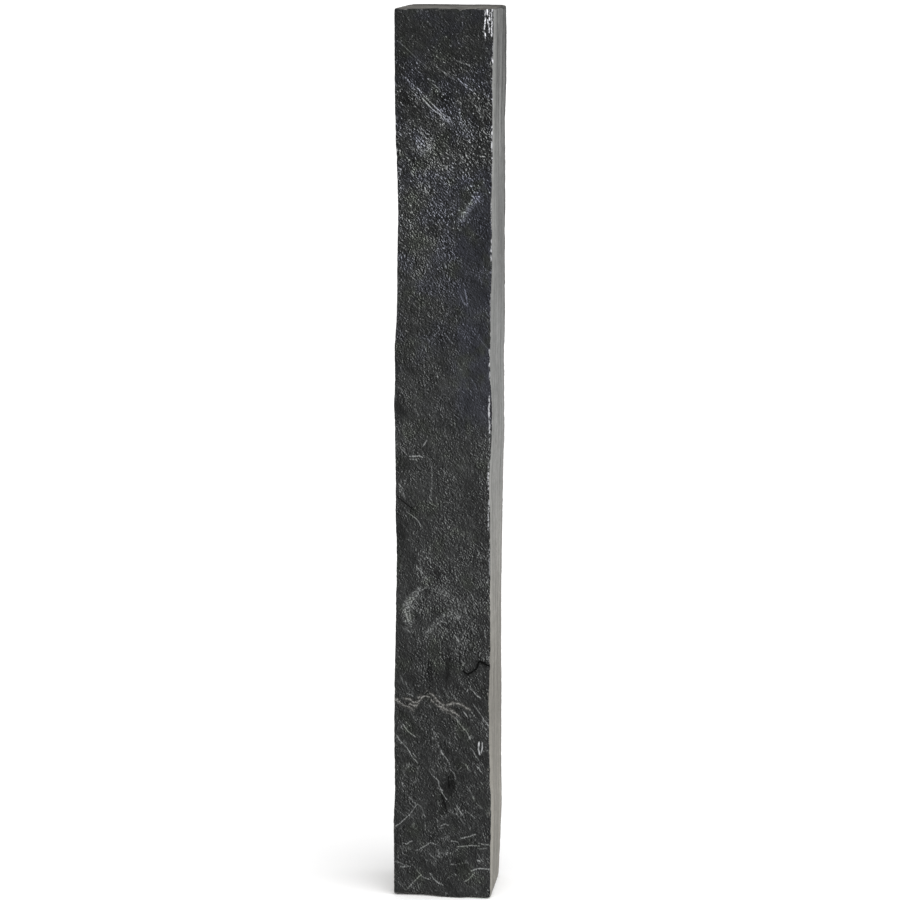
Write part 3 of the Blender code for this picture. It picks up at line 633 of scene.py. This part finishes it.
class Stone:
    """Where a point lies on the stone, and the marks there, for the relief and the finish alike."""

    def __init__(self, board, place, normal):
        self.board = board
        self.x, self.y, self.z = board.parts(place)
        self.nx, self.ny, self.nz = board.parts(normal)
        self.front = board.eased(self.ny, *FRONT_FACING)
        end = board.maths(
            "MAXIMUM", board.eased(self.z, *TOP_EDGE), board.eased(self.z, *BASE_EDGE))
        end = end * board.eased(abs(self.nz), *END_FACING)
        self.side = board.eased(abs(self.x), *SIDE_ACROSS) * board.eased(abs(self.nx), *SIDE_FACING)
        self.riven = (1.0 - self.side) * (1.0 - end)
        self.behind = board.maths("GREATER_THAN", self.y, 0.0)
        bend = self.z * self.z * self.z * GRAIN_BEND
        stray = (self.cloud(reach=0.014, start=8.8) - 0.5) * GRAIN_STRAY
        self.over_grain = self.x + self.z * GRAIN_LEAN + bend + stray
        self.shifts = [self.cloud(0.0034, start, detail=3.0) - 0.5 for start in (3.1, 5.9, 8.4)]

    def along_grain(self, width, length, start):
        """Place for a noise whose lumps are drawn out along the grain."""
        return self.board.vector(
            self.over_grain / width, self.z / length, self.behind * BACK_START + start)

    def grain(self, width, length, start, detail=2.0):
        """Noise drawn out along the grain."""
        return self.board.noise(self.along_grain(width, length, start), detail)

    def crinkle(self, width, length, start, detail=2.0):
        """Painted light and shade of small scales drawn out along the grain, as if lit from one side,
        about 0.1 either way.
        """
        return self.emboss_shading(self.along_grain(width, length, start), detail)

    def crumbs(self, reach, start, detail=2.0):
        """Painted light and shade of small crumbs with no direction of their own, as if lit from one side,
        about 0.1 either way.
        """
        place = self.board.vector(self.x / reach, self.y / reach + start, self.z / reach)
        return self.emboss_shading(place, detail)

    def emboss_shading(self, place, detail):
        """How much higher the noise is here than a little further on: painted light and shade, as if the
        noise were relief lit from one side.
        """
        board = self.board
        ahead = board.node(
            "ShaderNodeVectorMath", {"operation": "ADD"}, {0: place, 1: EMBOSS_STEP})
        return board.noise(place, detail) - board.noise(ahead, detail)

    def cloud(self, reach, start, detail=2.0):
        """Noise with no direction."""
        board = self.board
        place = board.vector(
            (self.x + start) / reach, (self.y + start) / reach, (self.z + start) / reach)
        return board.noise(place, detail)

    def over(self, wide, deep, high):
        """Place for a noise with lumps of these sizes."""
        return self.board.vector(self.x / wide, self.y / deep, self.z / high)

    def zone(self, across, above, below):
        """1 in a part of the front: past a place across, and between two heights."""
        board = self.board
        inside = board.eased(self.x, *across) * board.eased(self.z, *above)
        return inside * board.eased(self.z, *below) * self.front

    def streaks(self, depth, length, side_start, detail=3.0, roughness=0.5):
        """Noise in upright streaks across the beds, another one on each side."""
        place = self.board.vector(self.y / depth, self.z / length, self.nx * side_start)
        return self.board.noise(place, detail, roughness)

    def threads(self, slow, levels, wide):
        """Thin crinkled lines where a slow noise passes each of its levels."""
        board = self.board
        level = slow * levels
        share = level - board.maths("FLOOR", level)
        return board.eased(abs(share - 0.5), wide, PEN_CORE * wide)

    def patch(self, across, height, wide, high):
        """1 in the middle of an uneven round patch, 0 outside it."""
        sideways = (self.x - across) / wide
        upward = (self.z - height) / high
        board = self.board
        away = board.maths("SQRT", sideways * sideways + upward * upward)
        uneven = (self.cloud(reach=0.007, start=4.4) - 0.5) * 1.6
        return board.eased(away + uneven, 1.1, 0.3)

    def drawn(self, points, pen):
        """1 on a drawn line, 0 a pen's width away and past its ends."""
        return self.laid(*lanes([(1.0, points)])[0], *pen)

    def strokes(self, marks, pen, lift=0.0):
        """Marks drawn with one pen, lane by lane, all of them a lift higher."""
        return (self.laid(*lane, *pen, lift) for lane in lanes(marks))

    def laid(self, climbing, lane, width, wander, lift=0.0):
        """The stops of a lane's marks where they are drawn, 0 a width away and past their ends."""
        board = self.board
        place, across = (self.z, self.x) if climbing else (self.x, self.z)
        if climbing:
            place = place - lift
        else:
            across = across - lift
        centre = [point for _, path in lane for point in path]
        strength = [(lane[0][1][0][0] - LANE_MARGIN, 0.0)]
        for stops, path in lane:
            start, end = path[0][0], path[-1][0]
            strength += [(start - MARK_FADE, 0.0), (start + MARK_FADE, stops)]
            strength += [(end - MARK_FADE, stops), (end + MARK_FADE, 0.0)]
        strength.append((lane[-1][1][-1][0] + LANE_MARGIN, 0.0))
        tenths = int(abs(centre[0][1]) * 10000.0)
        shift = self.shifts[tenths % len(self.shifts)]
        away = abs(across + shift * (3.0 * wander) - board.line(place, centre))
        wide = width * 1.2
        return board.eased(away, wide, PEN_CORE * wide) * board.line(place, strength)


def select_only(piece):
    """Make this piece the only one that is selected, and the active one."""
    bpy.ops.object.select_all(action="DESELECT")
    piece.select_set(True)
    bpy.context.view_layer.objects.active = piece


def apply_modifier(piece, name, kind, **settings):
    """Add a modifier with its settings and apply it."""
    modifier = piece.modifiers.new(name, kind)
    for setting, value in settings.items():
        setattr(modifier, setting, value)
    select_only(piece)
    bpy.ops.object.modifier_apply(modifier=name)


def copy_of_solid(name):
    """A copy of the post's solid as a piece of its own, its loose triangles merged."""
    mesh = bpy.data.objects[SOLID].data.copy()
    mesh.name = name
    piece = bpy.data.objects.new(name, mesh)
    bpy.context.scene.collection.objects.link(piece)
    select_only(piece)
    bpy.ops.object.mode_set(mode="EDIT")
    bpy.ops.mesh.select_all(action="SELECT")
    bpy.ops.mesh.remove_doubles(threshold=MERGE_WITHIN)
    bpy.ops.object.mode_set(mode="OBJECT")
    return piece


def riven_relief(stone, settings):
    """How far the riven faces stand out: grain, and thin beds that end in short steps."""
    board = stone.board
    grain = stone.grain(width=0.0055, length=0.013, start=1.0, detail=4.0) - 0.5
    level = stone.grain(width=0.016, length=0.050, start=5.0, detail=4.0) * BEDS
    flat = board.maths("FLOOR", level)
    beds = (flat + board.eased(level - flat, *BED_END)) * settings.bed_step
    return grain * (2.0 * settings.grain_depth) + beds - 0.5 * BEDS * settings.bed_step


def front_ledges(stone):
    """The ledges, vein, crack and marks that stand on the front alone."""
    board = stone.board
    ragged = (stone.cloud(reach=0.006, start=3.1, detail=4.0) - 0.5) * SPALL_RAGGED
    spall = board.eased(board.line(stone.z, SPALL_EDGE) + ragged - stone.x, *SPALL_RIM)
    veins = board.total(stone.strokes(VEIN_STRANDS, VEIN_RIDGE_PEN))
    crack = board.largest(stone.strokes(CRACK, CRACK_GROOVE_PEN))
    strong = [(stops, line) for stops, line in FRONT_LINES if abs(stops) > STRONG_MARK]
    marks = board.total(stone.strokes(strong, MARK_RIDGE_PEN))
    return veins * VEIN_RISE - spall * SPALL_DEPTH - crack * CRACK_DEPTH + marks * MARK_RISE


def arris_chips(stone, settings):
    """How deep the chips are along the arrises and the rims of the ends."""
    board = stone.board
    squares = [part * part for part in (stone.nx, stone.ny, stone.nz)]
    arris = squares[0] * squares[1] + squares[1] * squares[2] + squares[2] * squares[0]
    arris = board.node(
        "GeometryNodeBlurAttribute", {"data_type": "FLOAT"}, {0: arris * 4.0, "Iterations": 2})
    flakes = board.noise(stone.over(wide=0.05, deep=0.05, high=0.013), detail=3.0, roughness=0.6)
    notches = board.noise(stone.over(wide=0.012, deep=0.012, high=0.0045))
    chips = board.eased(flakes, 0.50, 0.74) * settings.chip_depth
    chips = chips + board.eased(notches, 0.52, 0.70) * settings.notch_depth
    return chips * arris * (0.25 + 0.75 * board.eased(stone.z, 0.004, 0.016))


def side_ribs(stone, rise):
    """Fine upright lines where a side cuts across the beds."""
    return (stone.streaks(depth=0.0042, length=0.30, side_start=2.0) - 0.5) * (2.0 * rise)


def relief_group(settings):
    """Node group that moves the fine mesh's points to the riven surface."""
    tree = bpy.data.node_groups.new("Riven surface", "GeometryNodeTree")
    tree.interface.new_socket("Geometry", in_out="INPUT", socket_type="NodeSocketGeometry")
    tree.interface.new_socket("Geometry", in_out="OUTPUT", socket_type="NodeSocketGeometry")
    board = Board(tree)
    mesh_in = board.node("NodeGroupInput")
    place = board.node("GeometryNodeInputPosition")
    normal = board.node("GeometryNodeInputNormal")
    stone = Stone(board, place, normal)

    chips = arris_chips(stone, settings)
    outward = stone.riven * riven_relief(stone, settings) + stone.front * front_ledges(stone)
    outward = outward + stone.side * side_ribs(stone, settings.rib_rise) - chips
    rough = (stone.cloud(reach=0.006, start=9.0, detail=3.0) - 0.5) * settings.top_rough
    upward = board.eased(stone.nz, *UP_FACING) * rough - stone.nz * chips
    foot = board.line(stone.x, FOOT_RISE) * board.eased(stone.z, FOOT_REACH, 0.0)
    upward = upward + foot * board.eased(stone.y, *FOOT_FRONT)
    shift = board.vector(stone.nx * outward, stone.ny * outward, upward)
    moved = board.node("GeometryNodeSetPosition", None, {"Geometry": mesh_in, "Offset": shift})
    board.node("NodeGroupOutput", None, {"Geometry": moved}, None)
    return tree


def front_light(stone):
    """Stops of light and dark that the marks add on the front: the stone's own pale marks, painted
    highlights, painted shade in the crack and cuts, and a painted shadow over the vein.
    """
    board = stone.board
    bands = board.total(stone.drawn(band, BAND_PEN) * stops for stops, band in SOFT_BANDS)
    bands = bands * (0.35 + 1.5 * board.eased(stone.cloud(reach=0.0018, start=7.9), 0.40, 0.64))
    marks = board.total(stone.strokes(FRONT_LINES, MARK_PEN))
    # The crack is painted dark, as painted shade inside it
    crack = board.largest(stone.strokes(CRACK, CRACK_PEN)) * PAINTED_CRACK_SHADE
    shadows = board.total(stone.strokes(VEIN_STRANDS, SHADOW_PEN, SHADOW_LIFT))
    low = stone.threads(stone.cloud(reach=0.036, start=6.6, detail=4.0), levels=7.0, wide=0.13)
    low = low * board.eased(stone.cloud(reach=0.011, start=1.2), 0.49, 0.60)
    low = low * board.eased(stone.z, *LOW_THREADS)
    # How strong the marks are, unevenly from place to place
    mark_strength = 0.85 + 1.3 * stone.cloud(reach=0.0040, start=2.7)
    light = bands + marks * mark_strength + LOW_THREAD_LIGHT * low - crack - SHADOW_DARK * shadows
    # Lighter patches are flecked, as painted clusters of glints
    flecked = 0.40 + 1.9 * board.eased(stone.cloud(reach=0.0019, start=7.1, detail=1.0), 0.54, 0.68)
    for across, height, wide, high, stops in PATCHES:
        patch = stone.patch(across, height, wide, high) * stops
        light = light + (patch * flecked if stops > 0.0 else patch)
    return light * stone.front


def bed_edge_light_and_shade(stone):
    """Painted highlights on the lips and painted shade in the hollows where thin beds end."""
    board = stone.board
    level = stone.grain(width=0.0060, length=0.0130, start=5.5, detail=4.0) * LIGHT_BEDS
    share = level - board.maths("FLOOR", level)
    picked = board.eased(stone.grain(width=0.006, length=0.012, start=3.3), 0.46, 0.60)
    lips = board.eased(share, 0.78, 0.90) * board.eased(share, 1.0, 0.97) * picked
    return lips, board.eased(share, 0.22, 0.03)


def glinting_flecks(stone, crowded, upper):
    """Painted glints: flecks one by one, each with its own share of the full glint."""
    board = stone.board
    cells = board.node("ShaderNodeTexVoronoi", None, {
        "Vector": board.vector(
            stone.over_grain / 0.0022, stone.z / 0.0026,
            stone.behind * BACK_START + stone.y / 0.003),
        "Scale": 1.0}, "Distance")
    chance, shine, _ = board.parts(cells.also("Color"))
    rare = 0.82 - 0.16 * crowded - 0.07 * upper
    flecks = board.eased(cells, 0.44, 0.22) * board.eased(chance, rare, 0.92) * (0.6 + 0.9 * upper)
    return flecks * (1.2 + 2.8 * shine)


def riven_colour(stone, settings):
    """Colour of the riven faces, with painted light and shade of their fine relief and painted glints, the
    height of their finest relief, and the strokes in it.
    """
    board = stone.board
    smooth = stone.zone(*SMOOTH_ZONE)
    bared = stone.zone(*BARED_ZONE)
    upper = board.eased(stone.z, *UPPER)
    # The scales are painted light and shade of fine relief, as if lit from one side; they also give the
    # bump its height
    scales = CRUMBS * stone.crumbs(reach=0.0018, start=2.0)
    scales = scales + CRINKLES * stone.crinkle(width=0.0019, length=0.0028, start=2.0)
    scales = scales * (0.6 + 4.0 * abs(scales))
    # The strokes are painted light and shade of longer scales; they also give height and roughness
    strokes = stone.crinkle(width=0.0030, length=0.0090, start=8.0, detail=3.0)
    crowded = board.eased(stone.cloud(reach=0.022, start=5.0, detail=4.0), 0.32, 0.68)
    lips, hollows = bed_edge_light_and_shade(stone)
    threads = stone.threads(
        stone.grain(width=0.020, length=0.065, start=4.7, detail=5.0), levels=10.0, wide=0.15)
    threads = threads * board.eased(stone.grain(width=0.008, length=0.022, start=6.2), 0.50, 0.62)
    streaky = board.line(stone.z, THREADS)
    threads = threads * streaky

    # Stops of painted light and shade of the relief, and of painted glints
    stops = (SCALE_LIGHT + CROWDED_LIGHT * crowded) * scales + STROKE_LIGHT * streaky * strokes
    stops = stops + LIP_LIGHT * lips - PAINTED_HOLLOW_SHADE * hollows
    stops = stops + glinting_flecks(stone, crowded, upper)
    broad = BROAD_LIGHT * (stone.cloud(reach=0.030, start=2.2, detail=3.0) - 0.5)
    broad = broad + BROAD_GRAIN_LIGHT * (stone.grain(width=0.011, length=0.024, start=9.0) - 0.5)
    broad = broad * (1.0 - UPPER_CALM * upper)
    gain = board.line(stone.z, GLINTS) * (1.0 - SMOOTH_CALM * smooth - BARED_CALM * bared)
    stops = gain * stops + (2.0 - 0.9 * smooth) * threads + broad + front_light(stone)
    stops = stops + board.line(stone.z, LIFT) + SMOOTH_LIGHT * smooth - ALL_DARK
    stops = board.maths("MINIMUM", stops, BRIGHTEST + 0.7 * upper)

    blue = board.eased(stone.cloud(reach=0.035, start=0.4, detail=3.0), 0.44, 0.62)
    blue = blue * board.eased(stone.z, *BLUE_ABOVE)
    blue = blue * 0.7 + smooth * 0.8
    tint = board.mixed(blue, opaque(settings.slate), opaque(settings.blue))
    olive = board.eased(stone.cloud(reach=0.030, start=7.7, detail=3.0), 0.52, 0.68) * 0.8
    tint = board.mixed(olive, tint, opaque(settings.olive))
    height = scales * 1.2 + strokes * 1.6 + lips * 0.1
    return board.lit(tint, board.maths("POWER", 2.0, stops)), height, strokes


def marked_front(stone, settings, colour):
    """The front's pale vein, and its white glints painted as highlights, over the riven colour."""
    board = stone.board
    mottled = board.eased(stone.cloud(reach=0.0020, start=1.7), 0.40, 0.60)
    veins = board.largest(stone.strokes(VEIN_STRANDS, VEIN_PEN))
    haze = board.largest(stone.strokes(VEIN_STRANDS, HAZE_PEN))
    haze = haze * (0.2 + 0.8 * mottled) * stone.front
    colour = board.mixed(haze * 0.70, colour, opaque(settings.haze))
    colour = board.mixed(
        veins * (0.15 + 0.65 * mottled) * stone.front, colour, opaque(settings.vein))
    # Painted highlights: the white glints, broken up by noise
    white = board.largest(stone.strokes(WHITE_GLINTS, GLINT_PEN))
    broken = board.noise(
        board.vector(stone.x / 0.003, 1.0, stone.z / 0.0048), detail=4.0, roughness=0.6)
    broken = board.eased(broken, 0.43, 0.55)
    ahead = stone.riven * board.eased(stone.y, *GLINTS_AHEAD)
    return board.mixed(white * broken * ahead, colour, opaque(settings.glint))


def cut_colour(stone, settings):
    """Colour of the sides and the ends, and the height of their lines in millimetres."""
    board = stone.board
    beds = stone.streaks(depth=0.0075, length=0.20, side_start=2.0, detail=4.0, roughness=0.6)
    fibres = stone.streaks(depth=0.0065, length=0.011, side_start=3.0, roughness=0.6)
    stain = stone.streaks(depth=0.03, length=0.09, side_start=2.0)
    grit = stone.cloud(reach=0.0020, start=2.0)
    lines = 2.5 * (beds - 0.5) + 1.0 * (fibres - 0.5) + 0.4 * (stain - 0.5) + 0.8 * (grit - 0.5)
    high = board.eased(stone.z, *SIDE_HIGH)
    deeper = board.eased(stone.y, -0.050, 0.045) * high * 0.45
    rims = board.eased(stone.y, 0.040, 0.046) * 0.40
    rims = rims - board.eased(stone.y, -0.032, -0.044) * (0.14 + 0.34 * high)
    lines = lines * (0.75 + 0.25 * high)
    light = board.line(stone.z, SIDE_LIGHT) * (1.06 + lines - rims - deeper)
    warmth = board.eased(stone.z, *SIDE_WARM)
    side = board.lit(board.mixed(warmth, opaque(settings.cut), opaque(settings.warm)), light)

    across = board.noise(
        board.vector(stone.y / 0.020, stone.x / 0.022, 4.0), detail=5.0, roughness=0.65)
    speckled = board.line(stone.y, TOP_LIGHT) * (2.2 * across + 0.8 * grit - 0.5)
    end = board.lit(tuple(settings.end), speckled)
    colour = board.mixed(board.eased(abs(stone.nz), 0.6, 0.8), side, end)
    return colour, beds * 0.12 + grit * 0.08


def slate_finish(settings):
    """One slate finish: riven faces with painted glints and painted light and shade, pale matt cut sides
    and ends.
    """
    material = bpy.data.materials.new("slate")
    material.use_nodes = True
    board = Board(material.node_tree)
    coordinates = board.node("ShaderNodeTexCoord", None, None, "Object")
    stone = Stone(board, coordinates, coordinates.also("Normal"))
    riven, riven_height, strokes = riven_colour(stone, settings)
    riven = marked_front(stone, settings, riven)
    cut, cut_height = cut_colour(stone, settings)
    colour = board.mixed(stone.riven, cut, riven)
    matt = 1.0 - stone.riven
    roughness = stone.riven * (RIVEN_ROUGHNESS + strokes) + matt * CUT_ROUGHNESS
    height = stone.riven * riven_height + matt * cut_height
    bump = board.node(
        "ShaderNodeBump", None, {"Strength": 1.0, "Distance": MILLIMETRE, "Height": height}, "Normal")
    surface = board.node(
        "ShaderNodeBsdfPrincipled", None,
        {"Base Color": colour, "Roughness": roughness, "Specular IOR Level": SHEEN, "Normal": bump},
        "BSDF")
    board.node("ShaderNodeOutputMaterial", None, {"Surface": surface}, None)
    return material


class SLATE_OT_post(bpy.types.Operator):
    """Shape the riven post over its solid and give it its finish"""

    bl_idname = "slate.post"
    bl_label = "Riven post"

    def execute(self, context):
        settings = context.scene.slate_stone
        piece = copy_of_solid("riven_post")
        apply_modifier(piece, "Even mesh", "REMESH", mode="VOXEL", voxel_size=settings.cell)
        apply_modifier(piece, "Soften", "SMOOTH", factor=0.5, iterations=settings.softening)
        apply_modifier(piece, "Riven surface", "NODES", node_group=relief_group(settings))
        cells = sum(len(face.vertices) - 2 for face in piece.data.polygons)
        apply_modifier(piece, "Thin", "DECIMATE", ratio=min(1.0, settings.triangles / cells))
        select_only(piece)
        bpy.ops.object.shade_smooth()
        piece.data.materials.clear()
        piece.data.materials.append(slate_finish(context.scene.slate_finish))
        if len(piece.data.polygons) < FEWEST_TRIANGLES:
            raise RuntimeError("the post came out too coarse")
        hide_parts(SOLID)
        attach(piece, "root")
        return {"FINISHED"}


def stage_surface(settings):
    """Plain pale floor finish."""
    material = bpy.data.materials.new("pale_floor")
    material.use_nodes = True
    surface = material.node_tree.nodes["Principled BSDF"]
    surface.inputs["Base Color"].default_value = opaque(settings.floor)
    surface.inputs["Roughness"].default_value = 0.9
    surface.inputs["Specular IOR Level"].default_value = 0.1
    return material


class SLATE_OT_stage(bpy.types.Operator):
    """Set the post on a pale floor, with soft light and the camera"""

    bl_idname = "slate.stage"
    bl_label = "Stage"

    def execute(self, context):
        settings = context.scene.slate_stage
        bpy.ops.object.select_all(action="DESELECT")
        bpy.ops.mesh.primitive_plane_add(size=FLOOR_SIZE, location=(0.0, 0.0, -FLOOR_DROP))
        floor = context.object
        floor.name = "floor"
        floor.data.materials.append(stage_surface(settings))

        world = bpy.data.worlds.new("soft_white")
        context.scene.world = world
        world.use_nodes = True
        sky = world.node_tree.nodes["Background"]
        sky.inputs["Color"].default_value = (1.0, 1.0, 1.0, 1.0)
        sky.inputs["Strength"].default_value = settings.sky
        bpy.ops.object.light_add(type="SUN", location=LAMP_PLACE)
        lamp = context.object
        lamp.name = "soft_lamp"
        lamp.data.energy = settings.lamp
        lamp.data.angle = settings.lamp_spread
        lamp.rotation_euler = LAMP_LEAN

        back = Vector((
            math.sin(settings.azimuth) * math.cos(settings.elevation),
            -math.cos(settings.azimuth) * math.cos(settings.elevation),
            math.sin(settings.elevation)))
        aim = Vector((AIM_ACROSS, 0.0, settings.aim))
        bpy.ops.object.camera_add(location=aim + settings.distance * back)
        camera = context.object
        camera.name = "camera"
        camera.rotation_euler = (-back).to_track_quat("-Z", "Y").to_euler()
        camera.data.lens = settings.lens
        camera.data.clip_end = 200.0
        camera.data.dof.use_dof = False
        context.scene.camera = camera
        context.scene.view_settings.view_transform = "Standard"
        return {"FINISHED"}


class SLATE_PT_panel(bpy.types.Panel):
    """Sizes, colours and steps of the slate post"""

    bl_idname = "SLATE_PT_panel"
    bl_label = "Slate palisade"
    bl_space_type = "VIEW_3D"
    bl_region_type = "UI"
    bl_category = "Slate"

    def draw(self, context):
        scene = context.scene
        for settings in (scene.slate_stone, scene.slate_finish, scene.slate_stage):
            box = self.layout.box()
            for name in settings.__annotations__:
                box.prop(settings, name)
        self.layout.operator("slate.post")
        self.layout.operator("slate.stage")


CLASSES = (
    StoneSettings, FinishSettings, StageSettings,
    SLATE_OT_post, SLATE_OT_stage, SLATE_PT_panel,
)


def register():
    """Register the classes and hang the settings on the scene."""
    for each in CLASSES:
        bpy.utils.register_class(each)
    bpy.types.Scene.slate_stone = PointerProperty(type=StoneSettings)
    bpy.types.Scene.slate_finish = PointerProperty(type=FinishSettings)
    bpy.types.Scene.slate_stage = PointerProperty(type=StageSettings)


def unregister():
    """Take the settings and the classes away again."""
    del bpy.types.Scene.slate_stage
    del bpy.types.Scene.slate_finish
    del bpy.types.Scene.slate_stone
    for each in reversed(CLASSES):
        bpy.utils.unregister_class(each)


def main():
    """Make the post and its stage."""
    register()
    bpy.ops.slate.post()
    bpy.ops.slate.stage()


if __name__ == "__main__":
    main()
